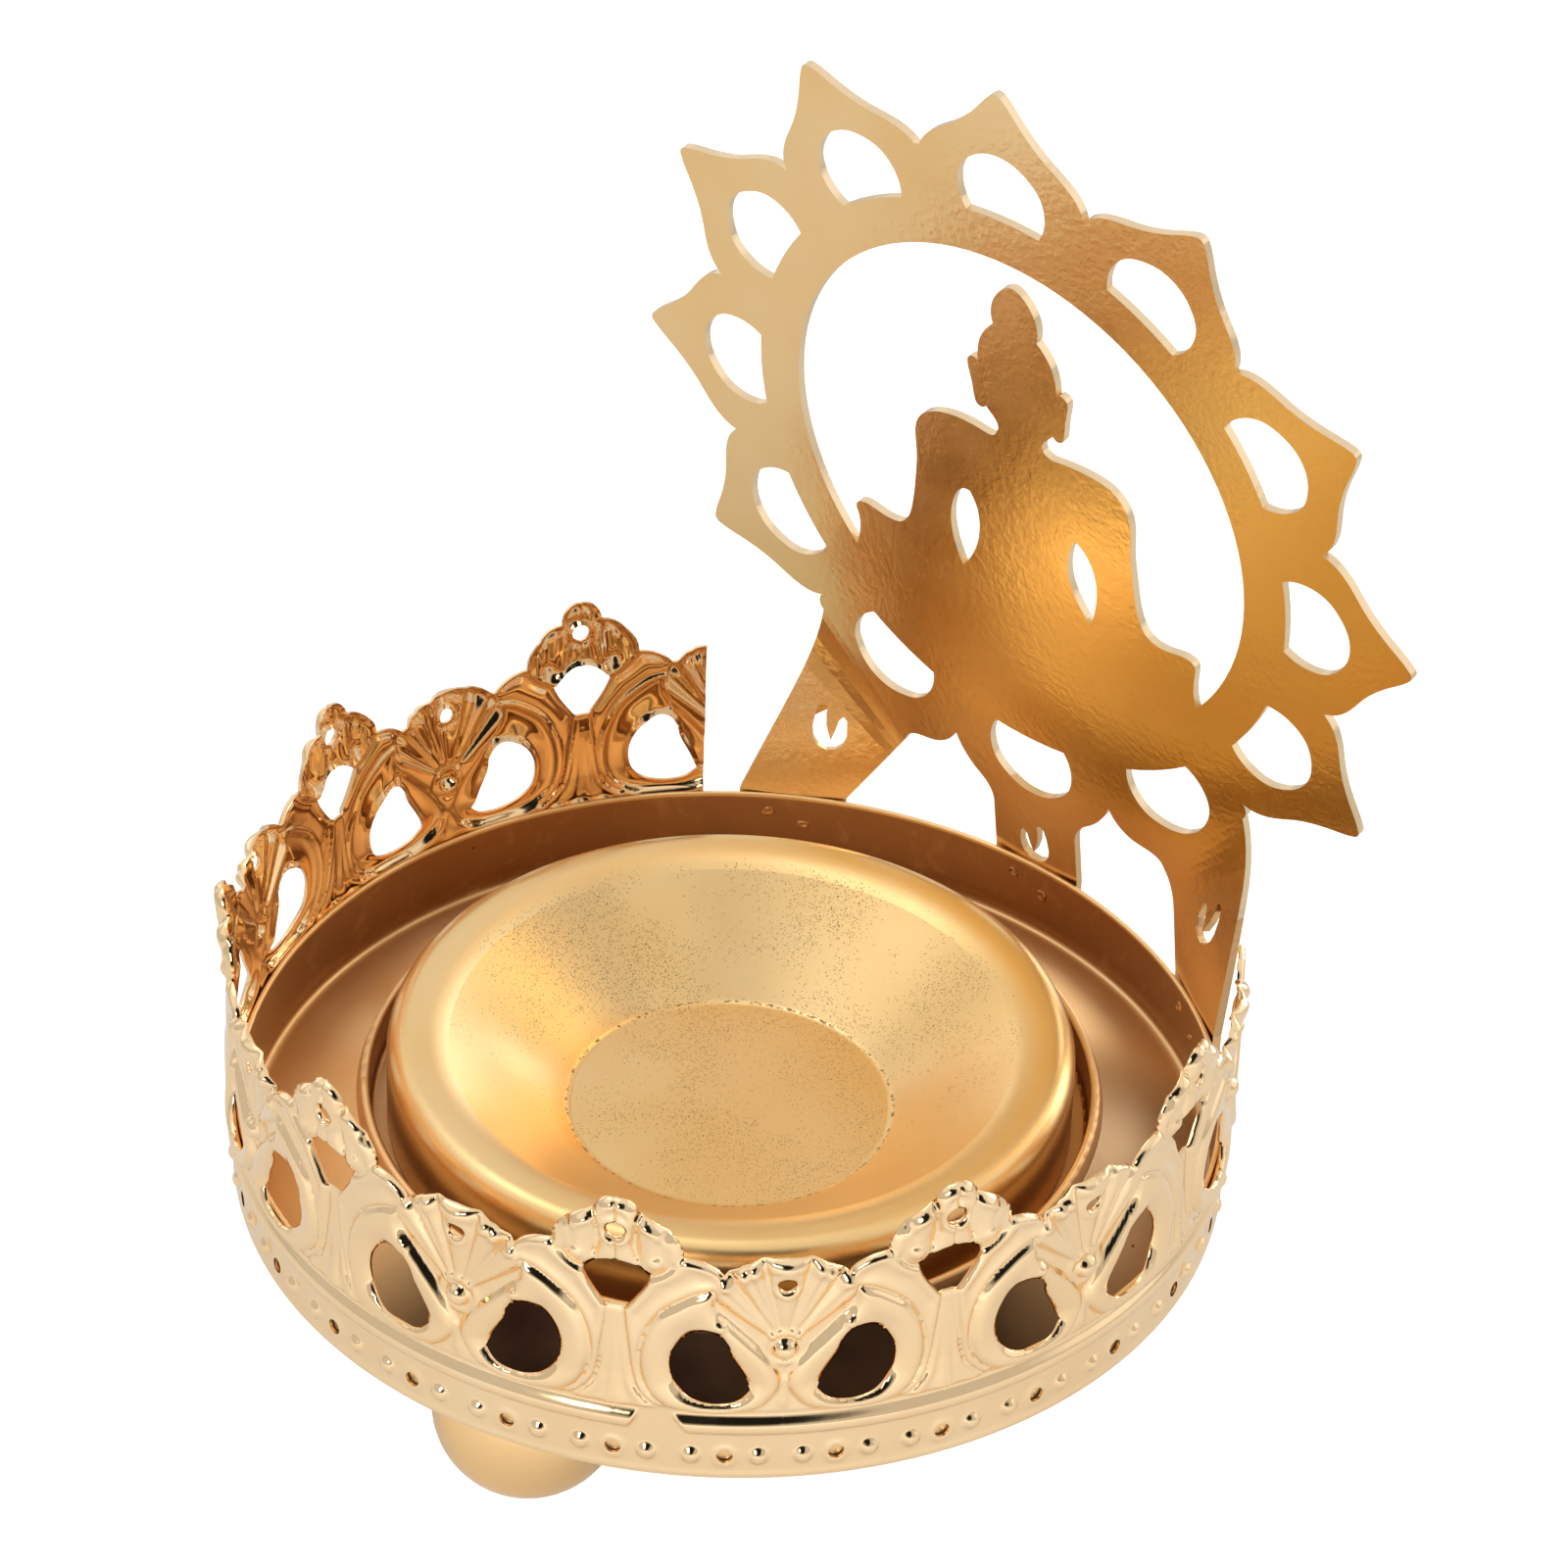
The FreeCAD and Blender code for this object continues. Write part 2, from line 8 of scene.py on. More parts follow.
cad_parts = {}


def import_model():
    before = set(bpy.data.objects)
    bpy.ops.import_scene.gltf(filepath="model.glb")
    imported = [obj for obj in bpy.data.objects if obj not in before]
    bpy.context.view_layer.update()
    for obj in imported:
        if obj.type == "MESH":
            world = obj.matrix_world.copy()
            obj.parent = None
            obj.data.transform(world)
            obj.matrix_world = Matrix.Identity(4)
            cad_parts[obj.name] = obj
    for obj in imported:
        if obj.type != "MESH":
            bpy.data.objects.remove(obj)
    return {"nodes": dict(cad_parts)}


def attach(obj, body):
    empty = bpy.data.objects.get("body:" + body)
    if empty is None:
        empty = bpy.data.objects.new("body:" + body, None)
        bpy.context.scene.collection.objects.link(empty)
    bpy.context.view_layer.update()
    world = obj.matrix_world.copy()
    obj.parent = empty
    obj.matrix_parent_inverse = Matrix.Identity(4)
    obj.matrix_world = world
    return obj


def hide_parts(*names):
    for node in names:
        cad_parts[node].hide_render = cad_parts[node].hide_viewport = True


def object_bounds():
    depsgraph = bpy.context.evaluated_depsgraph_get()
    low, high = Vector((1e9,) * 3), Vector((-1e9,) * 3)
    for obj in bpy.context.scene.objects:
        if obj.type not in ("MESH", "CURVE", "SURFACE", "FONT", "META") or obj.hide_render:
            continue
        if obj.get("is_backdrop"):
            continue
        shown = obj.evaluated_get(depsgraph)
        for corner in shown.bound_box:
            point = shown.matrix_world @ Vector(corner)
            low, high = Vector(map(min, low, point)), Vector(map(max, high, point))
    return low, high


# Votive candle holder: a round tray centred on the z axis, edged by a pierced
# gallery, with a candle dish, a lotus backplate and three feet. The gallery and
# the weld marks are modelled here, in millimetres; the rest comes from the CAD
# pieces. Materials and studio are in metres. "Far", "near", "left" and "right"
# are as the camera sees them; it looks along HEADING.

MM = 0.001
HEADING = math.radians(39.6)      # camera heading, anticlockwise from +y

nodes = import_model()["nodes"]


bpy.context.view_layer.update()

# ---------------------------------------------------------- gallery: dimensions
# The pattern is drawn flat: x runs along the arc from the axis of a shell
# (x = 0) to the axis of a palmette (x = HALF), and z is height.
HALF = 16.57
BOTTOM, TOP = -5.5, 28.3
SHELLS = [30.0, -7.0, -43.6, -80.4, -117.6, -155.0, -192.4, -228.6]  # axes, degrees
START, END = -225.9, 40.9         # ends of the sheet, degrees
END_GAP = 37.0 / 2                # degrees per half repeat beyond the first shell
SHEET = 0.30                      # thickness
GRID = 0.25  # spacing of the mesh points
CELL = 0.1                        # spacing of the sampled relief
BLUR = 1.15                       # softening of the relief, in cells
GROUND = 0.12                     # height of the plain ground
BEAD_LOW, BEAD_HIGH = 0.1, 2.9    # z range of the round bead
BROKEN_SHELL = 2                  # the bead has a joint below this shell's angle

PEARL_Z, PEARL_R = 10.8, 1.25     # pearl at the root of the shell
SHELL_HOLE_Z, SHELL_HOLE_R = 18.8, 0.85
PALM_HOLE_Z, PALM_HOLE_R = 24.4, 0.95
COLUMN_TOP, OVAL_TOP = 14.55, 20.5  # lower and upper z of the oval opening
STRIP_HOLE_Z, STRIP_HOLE_R = -2.75, 0.8
STRIP_HOLES = [5.52, HALF]
STRIP_BUMPS = [2.2, 8.85, 13.24]
RIB_EDGES = [-12.5, 12.5, 31.0, 50.0]  # degrees from the shell's axis


# ---------------------------------------------------------------- curve helpers
def dense(points, step=0.2):
    """Open Catmull-Rom curve through the points, sampled at about step."""
    p = np.array(points, float)
    p = np.concatenate([[2 * p[0] - p[1]], p, [2 * p[-1] - p[-2]]])
    out = []
    for a, b, c, d in zip(p, p[1:], p[2:], p[3:]):
        count = max(1, int(round(np.linalg.norm(c - b) / step)))
        for k in range(count):
            t = k / count
            out.append(0.5 * ((2 * b) + (c - a) * t
                              + (2 * a - 5 * b + 4 * c - d) * t * t
                              + (-a + 3 * b - 3 * c + d) * t ** 3))
    out.append(p[-2])
    return np.array(out)


def chain(*curves):
    """Join curves that share their end points."""
    return np.concatenate([c[:-1] for c in curves[:-1]] + [curves[-1]])


def straight(start, end, step=0.28):
    start, end = np.array(start, float), np.array(end, float)
    count = max(1, int(round(np.linalg.norm(end - start) / step)))
    return np.array([start + (end - start) * k / count for k in range(count + 1)])


def circle(centre, radius, start, end, count):
    angle = np.radians(np.linspace(start, end, count))
    return np.stack([centre[0] + radius * np.cos(angle),
                     centre[1] + radius * np.sin(angle)], 1)


def distance(points, line, closed=False):
    """Distance from each point to a polyline."""
    start = np.array(line, float)
    end = np.roll(start, -1, 0) if closed else start[1:]
    best = np.full(len(points), 1e9)
    for a, b in zip(start, end):
        span = b - a
        length2 = max(float(span @ span), 1e-12)
        t = np.clip(((points - a) @ span) / length2, 0, 1)
        offset = points - a - t[:, None] * span
        best = np.minimum(best, (offset * offset).sum(1))
    return np.sqrt(best)


def inside(points, polygon):
    x, z = points[:, 0], points[:, 1]
    result = np.zeros(len(points), bool)
    polygon = np.array(polygon, float)
    for (x0, z0), (x1, z1) in zip(polygon, np.roll(polygon, -1, 0)):
        if z0 == z1:
            continue
        crossed = (z0 > z) != (z1 > z)
        result ^= crossed & (x < (x1 - x0) * (z - z0) / (z1 - z0) + x0)
    return result


# ------------------------------------------------------------- profile helpers
def smoothstep(low, high, value):
    t = np.clip((value - low) / (high - low), 0, 1)
    return t * t * (3 - 2 * t)


def quarter_round(dist, radius):
    t = 1 - np.clip(dist / radius, 0, 1)
    return np.sqrt(np.clip(1 - t * t, 0, 1))


def dome(dist, radius):
    return np.sqrt(np.clip(1 - (dist / radius) ** 2, 0, 1))


def bell(dist, centre, width):
    return np.exp(-((dist - centre) / width) ** 2)


def fall(dist, width):
    """1 at an edge, easing to 0 at width from it."""
    return (1 - np.clip(dist / width, 0, 1)) ** 2


def with_pearl(height, dist, radius, base, rise):
    pearl = np.maximum(height, base + rise * dome(dist, radius))
    return np.where(dist < radius, pearl, height)


# ------------------------------------------------------- gallery: outlines (x, z)
shell_top = dense([(0.0, 22.0), (2.3, 21.8), (4.2, 21.0), (5.4, 20.2), (6.1, 19.6)])
scroll_top = dense([(6.1, 19.6), (6.9, 20.4), (8.2, 21.1), (9.6, 21.4), (10.0, 21.4)])
lobe_top = dense([(10.0, 21.4), (10.3, 22.9), (11.4, 24.4), (12.7, 25.5), (14.2, 26.2)])
tip_top = dense([(14.2, 26.2), (14.6, 27.2), (15.4, 28.0), (HALF, TOP)])
top_edge = chain(shell_top, scroll_top, lobe_top, tip_top)

# comma-shaped opening, with a corner at its fourth point
COMMA = [
    (3.2, 5.75), (4.0, 7.75), (5.2, 10.05), (5.5, 11.4), (6.3, 12.5), (7.7, 12.95),
    (9.5, 12.1), (10.75, 10.3), (11.1, 8.35), (10.6, 6.35), (9.3, 4.9), (7.6, 4.25),
    (5.9, 4.2), (4.4, 4.6)]
comma_hole = chain(dense(COMMA[:4]), dense(COMMA[3:] + COMMA[:1]))[:-1]

# oval opening below the palmette; a mirrored point levels it on the axis
OVAL_UPPER = [(HALF, OVAL_TOP), (14.77, 20.0), (13.22, 18.6)]
oval_side = dense([(13.22, 18.6), (13.87, 17.2), (14.82, 15.7), (15.67, COLUMN_TOP)])
mirrored = dense([(2 * HALF - 14.77, 20.0)] + OVAL_UPPER)
oval_edge = chain(mirrored[int(round(1.87 / 0.2)):], oval_side)

ring_outer = dense([
    (6.9, 17.9), (8.6, 17.4), (10.4, 16.25), (12.2, 14.65), (13.5, 12.3), (14.1, 9.7),
    (14.0, 7.2), (13.1, 4.9), (11.4, 3.4)], step=0.25)
ring_rest = dense([
    (11.4, 3.4), (9.3, 2.85), (6.9, 2.75), (4.6, 2.95), (2.4, 3.6), (1.0, 4.9),
    (0.25, 6.6), (0.9, 8.6), (2.3, 10.6), (3.9, 12.4), (5.3, 13.9), (6.4, 15.0),
    (6.9, 16.2), (6.9, 17.9)], step=0.25)
column_edge = dense([
    (15.67, COLUMN_TOP), (15.5, 12.5), (15.2, 10.0), (14.85, 7.5), (14.2, 5.2),
    (12.8, 3.7), (11.8, 3.2)], step=0.25)
scroll_back = dense([(10.0, 21.4), (10.6, 20.6), (11.8, 19.4), (13.22, 18.6)], step=0.25)
scroll_far = chain(scroll_top, scroll_back, oval_side, column_edge)

ring_area = chain(ring_outer, ring_rest)[:-1]
scroll_area = np.concatenate([scroll_far, ring_outer[::-1]])
shell_area = np.concatenate([shell_top, [
    (6.9, 17.9), (6.9, 16.2), (6.4, 15.0), (5.3, 13.9), (3.9, 12.4), (2.3, 10.6),
    (0.9, 8.6), (0.3, 7.0), (0.0, 6.8)]])
palm_area = np.concatenate([
    chain(lobe_top, tip_top), [(HALF, OVAL_TOP)], dense(OVAL_UPPER), scroll_back[::-1]])
column_area = np.concatenate([
    [(HALF, COLUMN_TOP)], column_edge, [(11.0, 2.7), (HALF, 2.7)]])

# grooves and side leaf of the palmette
GROOVE = [(14.25, 26.3), (14.75, 24.4), (14.95, 22.6), (14.5, 20.9)]
groove_line = dense(GROOVE, step=0.25)
leaf_groove = dense([(11.6, 24.6), (12.35, 22.8), (12.1, 20.9)], step=0.25)
leaf_spine = dense([(12.9, 20.6), (12.75, 22.4), (13.2, 24.6)], step=0.25)

# half width of the column: z, width
COLUMN_WIDTH = np.array([
    (2.7, 5.2), (3.4, 4.3), (5.2, 2.4), (7.5, 1.72), (10, 1.37), (12.5, 1.07), (14.6, 0.9)])
# section of the bead: z, height
BEAD = np.array([
    (0.1, 0.0), (0.2, 0.34), (0.5, 0.56), (0.9, 0.66), (1.3, 0.66), (1.6, 0.56),
    (2.45, 0.04), (2.9, 0.0)])
# radius of the plain sheet: z, radius
SHEET_RADIUS = np.array([
    (-5.5, 50.36), (3.1, 50.36), (4.6, 50.08), (6.5, 49.88), (12.0, 49.88),
    (16.0, 49.96), (20.0, 50.1), (24.0, 50.32), (28.5, 50.62)])


def from_table(z, table):
    return np.interp(z, table[:, 0], table[:, 1])


# ------------------------------------------------------------- gallery: relief
# Each function gives heights above the plain strip; edge is the distance to
# the gallery's top edge.
def shell_height(points, edge):
    """Ribbed shell with a pearl at its root."""
    x, z = points.T
    radius = np.hypot(x, z - PEARL_Z)
    angle = np.degrees(np.arctan2(x, z - PEARL_Z))
    rib = np.zeros(len(points))
    for low, high in zip(RIB_EDGES, RIB_EDGES[1:]):
        across = (angle - low) / (high - low)
        on_rib = (across > 0) & (across < 1)
        rib[on_rib] = 1 - np.abs(2 * across[on_rib] - 1) ** 2.4
    height = 0.22 + (0.17 + 0.052 * np.clip(radius, 2, 11)) * rib
    # creases: angle, width, depth
    for centre, width, depth in ((22.0, 1.8, 0.27), (40.5, 2.0, 0.18), (5.5, 1.5, 0.06)):
        height -= depth * bell(angle, centre, width) * smoothstep(2.5, 6.0, radius)
    # raised tips inside a rounded-off top edge
    height += 0.28 * bell(edge, centre=1.0, width=0.6) * rib ** 0.7 * (angle < 50)
    height -= 0.22 * fall(edge, width=0.7)
    # lip round the hole, then a collar round the pearl
    hole = np.hypot(x, z - SHELL_HOLE_Z)
    height += 0.14 * bell(hole, centre=1.35, width=0.35)
    height -= 0.2 * fall(hole - SHELL_HOLE_R, width=0.4)
    height += 0.22 * bell(radius, centre=1.95, width=0.4)
    return np.where(radius < PEARL_R, 0.38 + 0.85 * dome(radius, PEARL_R), height)


def ring_height(points, edge):
    """Ring and rod round the comma-shaped opening."""
    outer = distance(points, ring_area, closed=True)
    hole = distance(points, comma_hole, closed=True)
    width = outer + hole
    across = outer / np.maximum(width, 1e-6)
    height = GROUND + 0.86 * quarter_round(outer, radius=1.15)
    # hollow where the ring is wide, and a soft edge at the opening
    height -= 0.42 * smoothstep(0.35, 1.0, across) * np.clip((width - 1.9) / 1.8, 0, 1)
    height -= 0.34 * fall(hole, width=0.7)
    pearl = np.hypot(points[:, 0] - 6.35, points[:, 1] - 13.7)
    return with_pearl(height, pearl, radius=0.75, base=0.62, rise=0.55)


def scroll_height(points, edge):
    """Hollowed scroll outside the ring."""
    near = distance(points, ring_outer)
    far = distance(points, scroll_far)
    width = near + far
    across = near / np.maximum(width, 1e-6)
    shoulder = 0.3 + 0.7 * quarter_round(far, radius=0.8)
    height = GROUND + 0.66 * quarter_round(near, radius=0.8) * shoulder
    height -= 0.34 * np.sin(math.pi * across) ** 2 * np.clip((width - 1.3) / 1.4, 0, 1)
    return height - 0.2 * fall(edge, width=0.45)


def palm_height(points, edge):
    """Half of the palmette: a middle leaf, a side leaf and a small pearl."""
    x, z = points.T
    from_axis = HALF - x
    height = 0.3 + 0.42 * dome(from_axis, radius=2.35)
    groove_x, groove_z = np.array(GROOVE[::-1]).T
    side_leaf = 0.26 + 0.5 * dome(distance(points, leaf_spine), radius=1.55) ** 2
    height = np.where(x < np.interp(z, groove_z, groove_x), side_leaf, height)
    height -= 0.3 * bell(distance(points, groove_line), centre=0, width=0.3)
    height -= 0.16 * bell(distance(points, leaf_groove), centre=0, width=0.35)
    # raised border inside a rounded-off top edge
    height += 0.26 * bell(edge, centre=0.8, width=0.45)
    height -= 0.22 * fall(edge, width=0.65)
    pearl = np.hypot(x - 12.75, z - 20.9)
    height = with_pearl(height, pearl, radius=0.9, base=0.45, rise=0.5)
    # lip round the hole, and a soft edge at the oval
    hole = np.hypot(from_axis, z - PALM_HOLE_Z)
    height += 0.22 * bell(hole, centre=1.45, width=0.35)
    height -= 0.25 * fall(hole - PALM_HOLE_R, width=0.4)
    return height - 0.3 * fall(distance(points, oval_edge), width=0.5)


def column_height(points, edge):
    """Half of the fluted column, flutes deepening towards its foot."""
    x, z = points.T
    across = (HALF - x) / from_table(z, COLUMN_WIDTH)
    low = smoothstep(13.5, 5.0, z)
    height = GROUND + 0.32 * dome(across, radius=1) ** 2 * (0.5 + 0.5 * low)
    height += 0.13 * low * np.cos(3 * math.pi * across)
    return height - 0.25 * fall(COLUMN_TOP - z, width=0.5)


def strip_height(points):
    """Lower strip: lipped holes, round bumps and a ridge along the bottom."""
    x, z = points.T
    height = np.zeros(len(points))
    for centre in STRIP_HOLES:
        hole = np.hypot(x - centre, z - STRIP_HOLE_Z)
        height += 0.2 * bell(hole, centre=1.05, width=0.3)
    for centre in STRIP_BUMPS:
        bump = np.hypot(x - centre, z - STRIP_HOLE_Z)
        height += 0.62 * dome(bump, radius=1.0) ** 1.4
    return height + 0.12 * bell(z, centre=-5.1, width=0.3)


def raw_relief(points):
    x, z = points.T
    height = np.full(len(points), GROUND)
    edge = distance(points, top_edge)
    for area_edge, shape in ((shell_area, shell_height), (ring_area, ring_height),
                             (scroll_area, scroll_height), (palm_area, palm_height),
                             (column_area, column_height)):
        mask = inside(points, area_edge)
        height[mask] = shape(points[mask], edge[mask])
    # narrow ridge on the shell's axis, between two rings
    mask = (x < 3.0) & (z < 7.0) & (z > 2.7) & ~inside(points, ring_area)
    ridge = bell(x[mask], centre=0, width=0.55) * smoothstep(2.9, 4.2, z[mask])
    height[mask] = GROUND + 0.3 * ridge
    mask = z < BEAD_LOW
    height[mask] = strip_height(points[mask])
    return height


def bead_height(x, z, broken):
    """Round bead; broken leaves a slanting gap in it."""
    height = from_table(z, BEAD)
    if broken:
        high = 13.7 + (BEAD_HIGH - z) * 0.5
        low = 11.3 - (BEAD_HIGH - z) * 0.75
        height *= np.where((x > low) & (x < high), 0.0, 1.0)
    return height


def blurred(field, sigma):
    reach = int(math.ceil(3 * sigma))
    kernel = np.exp(-0.5 * (np.arange(-reach, reach + 1) / sigma) ** 2)
    kernel /= kernel.sum()
    for axis in (0, 1):
        pad = [(0, 0), (0, 0)]
        pad[axis] = (reach, reach)
        field = np.apply_along_axis(
            lambda row: np.convolve(row, kernel, mode="valid"),
            axis, np.pad(field, pad, mode="reflect"))
    return field


FIELD_BOTTOM = -5.6
field_x, field_z = np.meshgrid(
    np.arange(0, HALF + CELL, CELL), np.arange(FIELD_BOTTOM, 28.6, CELL), indexing="ij")
raw = raw_relief(np.stack([field_x.ravel(), field_z.ravel()], 1)).reshape(field_x.shape)
on_bead = (field_z > BEAD_LOW) & (field_z < BEAD_HIGH)
fields = {
    broken: blurred(np.where(on_bead, bead_height(field_x, field_z, broken), raw), BLUR)
    for broken in (False, True)}


def relief(x, z, broken):
    """Bilinear lookup in the blurred relief."""
    field = fields[broken]
    u = np.clip(x / CELL, 0, field.shape[0] - 1.001)
    v = np.clip((z - FIELD_BOTTOM) / CELL, 0, field.shape[1] - 1.001)
    i, j = u.astype(int), v.astype(int)
    a, b = u - i, v - j
    return (field[i, j] * (1 - a) * (1 - b) + field[i + 1, j] * a * (1 - b)
            + field[i, j + 1] * (1 - a) * b + field[i + 1, j + 1] * a * b)


# --------------------------------------------------------------- gallery: mesh
def half_outline():
    """Closed outline of half a repeat, without doubled points."""
    parts = [
        straight((0, BOTTOM), (HALF, BOTTOM)),
        straight((HALF, BOTTOM), (HALF, STRIP_HOLE_Z - STRIP_HOLE_R)),
        circle((HALF, STRIP_HOLE_Z), STRIP_HOLE_R, 270, 90, 13),
        straight((HALF, STRIP_HOLE_Z + STRIP_HOLE_R), (HALF, COLUMN_TOP)),
        straight((HALF, COLUMN_TOP), (15.67, COLUMN_TOP)),
        oval_edge[::-1],
        straight((HALF, OVAL_TOP), (HALF, PALM_HOLE_Z - PALM_HOLE_R)),
        circle((HALF, PALM_HOLE_Z), PALM_HOLE_R, 270, 90, 15),
        straight((HALF, PALM_HOLE_Z + PALM_HOLE_R), (HALF, TOP)),
        top_edge[::-1],
        straight((0, 22.0), (0, SHELL_HOLE_Z + SHELL_HOLE_R)),
        circle((0, SHELL_HOLE_Z), SHELL_HOLE_R, 90, -90, 13),
        straight((0, SHELL_HOLE_Z - SHELL_HOLE_R), (0, BOTTOM))[:-1]]
    outline = []
    for p in np.concatenate(parts):
        if not outline or np.abs(outline[-1] - p).sum() > 1e-6:
            outline.append(p)
    return np.array(outline)


def half_repeat(cut_low=None, cut_high=None):
    """Points and triangles of half a repeat, pierced and trimmed at the cuts."""
    outer = half_outline()
    strip_hole = circle((STRIP_HOLES[0], STRIP_HOLE_Z), STRIP_HOLE_R, 0, 360, 25)[:-1]
    holes = [comma_hole, strip_hole]
    cuts = [straight((cut, BOTTOM), (cut, 24.0))
            for cut in (cut_low, cut_high) if cut is not None]

    # staggered rows of points, clear of every edge
    points = []
    row = 0
    z = BOTTOM + GRID * 0.5
    while z < TOP:
        stagger = 0.5 * GRID if row % 2 else 0.0
        points += [(x, z) for x in np.arange(GRID * 0.4 + stagger, HALF, GRID)]
        z += GRID * 0.866
        row += 1
    points = np.array(points)
    keep = inside(points, outer)
    near = distance(points, outer, closed=True)
    for hole in holes:
        keep &= ~inside(points, hole)
        near = np.minimum(near, distance(points, hole, closed=True))
    for cut in cuts:
        near = np.minimum(near, distance(points, cut))
    points = points[keep & (near > GRID * 0.45)]

    coords, edges = [], []
    loops = [(loop, True) for loop in [outer] + holes] + [(cut, False) for cut in cuts]
    for loop, closed in loops:
        base, count = len(coords), len(loop)
        coords.extend(Vector((float(x), float(z))) for x, z in loop)
        edges.extend((base + k, base + (k + 1) % count)
                     for k in range(count if closed else count - 1))
    coords.extend(Vector((float(x), float(z))) for x, z in points)
    verts, _, tris, *_ = delaunay_2d_cdt(coords, edges, [], 0, 1e-6)
    verts = np.array([(p[0], p[1]) for p in verts])
    tris = np.array(tris)

    centre = verts[tris].mean(1)
    keep = inside(centre, outer)
    for hole in holes:
        keep &= ~inside(centre, hole)
    if cut_low is not None:
        keep &= centre[:, 0] > cut_low
    if cut_high is not None:
        keep &= centre[:, 0] < cut_high
    tris = tris[keep]

    # drop slivers and turn every triangle anticlockwise
    a, b, c = verts[tris[:, 0]], verts[tris[:, 1]], verts[tris[:, 2]]
    area2 = ((b[:, 0] - a[:, 0]) * (c[:, 1] - a[:, 1])
             - (c[:, 0] - a[:, 0]) * (b[:, 1] - a[:, 1]))
    solid = np.abs(area2) > 1e-7
    tris, area2 = tris[solid], area2[solid]
    tris[area2 < 0] = tris[area2 < 0][:, ::-1]
    used = np.unique(tris)
    new_index = np.full(len(verts), -1)
    new_index[used] = np.arange(len(used))
    return verts[used], new_index[tris]


def rolled(x, z, angle, broken):
    """Roll pattern points onto the gallery's outer skin."""
    height = relief(x, z, broken) * (1 + 0.24 * smoothstep(2.9, 4.6, z))
    # the sheet is a little uneven towards its top
    wobble = 0.10 * np.sin(3 * angle + 0.6) + 0.06 * np.sin(7 * angle + 2.0)
    lift = 0.10 * np.sin(5 * angle + 1.1) + 0.06 * np.sin(11 * angle)
    radius = from_table(z, SHEET_RADIUS) + height + wobble * smoothstep(3.0, 20.0, z)
    # stay inside the envelope of the solid model, on its +x, -x and -y sides
    cosine, sine = np.cos(angle), np.sin(angle)
    for limit, toward in ((51.05, cosine), (51.19, -cosine), (51.11, -sine)):
        radius = np.minimum(radius, limit / np.maximum(toward, 0.05))
    top = np.minimum(z + lift * smoothstep(6.0, 20.0, z), TOP)
    return np.stack([radius * cosine, radius * sine, top], 1)


def outer_skin():
    """All half repeats in place, welded where they meet."""
    # gaps[i] is the half repeat above shell i's angle, gaps[i + 1] the one below
    gaps = [END_GAP] + [(a - b) / 2 for a, b in zip(SHELLS, SHELLS[1:])]
    full = half_repeat()
    end_cell = half_repeat(cut_high=(END - SHELLS[0]) * HALF / gaps[0])
    start_cell = half_repeat(cut_low=(START - SHELLS[-1]) * HALF / gaps[-1])
    last = len(SHELLS) - 1
    halves = [(i, side) for i in range(last + 1) for side in (1, -1)][:-1]
    verts, tris = [], []
    count = 0
    for i, side in halves:
        gap = gaps[i] if side == 1 else gaps[i + 1]
        cell = full
        if (i, side) == (0, 1):
            cell = end_cell
        elif i == last:
            cell = start_cell
        flat, faces = cell
        x, z = flat.T
        angle = np.radians(SHELLS[i] + side * x * gap / HALF)
        verts.append(rolled(x, z, angle, broken=i == BROKEN_SHELL and side == -1))
        tris.append((faces if side == 1 else faces[:, ::-1]) + count)
        count += len(flat)
    verts, tris = np.concatenate(verts), np.concatenate(tris)

    key = np.round(verts / 0.004).astype(np.int64)
    _, first, inverse = np.unique(key, axis=0, return_index=True, return_inverse=True)
    verts, tris = verts[first], inverse.reshape(-1)[tris]
    a, b, c = tris.T
    return verts, tris[(a != b) & (b != c) & (a != c)]


def add_object(name, mesh_name, verts, faces, smooth=True):
    mesh = bpy.data.meshes.new(mesh_name)
    mesh.from_pydata(verts, [], faces)
    mesh.validate()
    mesh.update()
    for polygon in mesh.polygons:
        polygon.use_smooth = smooth
    obj = bpy.data.objects.new(name, mesh)
    bpy.context.scene.collection.objects.link(obj)
    return obj


def build_gallery():
    """Outer skin closed into a sheet with an inner skin and cut edges."""
    verts, tris = outer_skin()
    normal = np.zeros_like(verts)
    face_normal = np.cross(verts[tris[:, 1]] - verts[tris[:, 0]],
                           verts[tris[:, 2]] - verts[tris[:, 0]])
    for k in range(3):
        np.add.at(normal, tris[:, k], face_normal)
    normal /= np.maximum(np.linalg.norm(normal, axis=1), 1e-12)[:, None]

    edges = np.concatenate([tris[:, [0, 1]], tris[:, [1, 2]], tris[:, [2, 0]]])
    _, first, uses = np.unique(
        np.sort(edges, 1), axis=0, return_index=True, return_counts=True)
    rim = edges[first[uses == 1]]

    # thicken halfway between the normal and the radius, radially at the rims
    outward = verts[:, :2] / np.linalg.norm(verts[:, :2], axis=1)[:, None]
    radial = np.concatenate([outward, np.zeros((len(verts), 1))], 1)
    normal = normal + radial
    normal /= np.linalg.norm(normal, axis=1)[:, None]
    normal[np.unique(rim)] = radial[np.unique(rim)]
    inner = verts - normal * SHEET
    # keep the lower inner skin outside the tray wall
    clearance = 50.02
    radius = np.linalg.norm(inner[:, :2], axis=1)
    tight = (inner[:, 2] < 3.1) & (radius < clearance)
    inner[:, :2] *= np.where(tight, clearance / radius, 1.0)[:, None]

    count = len(verts)
    walls = np.stack([rim[:, 1], rim[:, 0], rim[:, 0] + count, rim[:, 1] + count], 1)
    obj = add_object(
        "gallery_relief", "gallery", (np.concatenate([verts, inner]) * MM).tolist(),
        tris.tolist() + (tris[:, ::-1] + count).tolist() + walls.tolist())
    obj.data.set_sharp_from_angle(angle=math.radians(62))
    return obj


gallery = build_gallery()

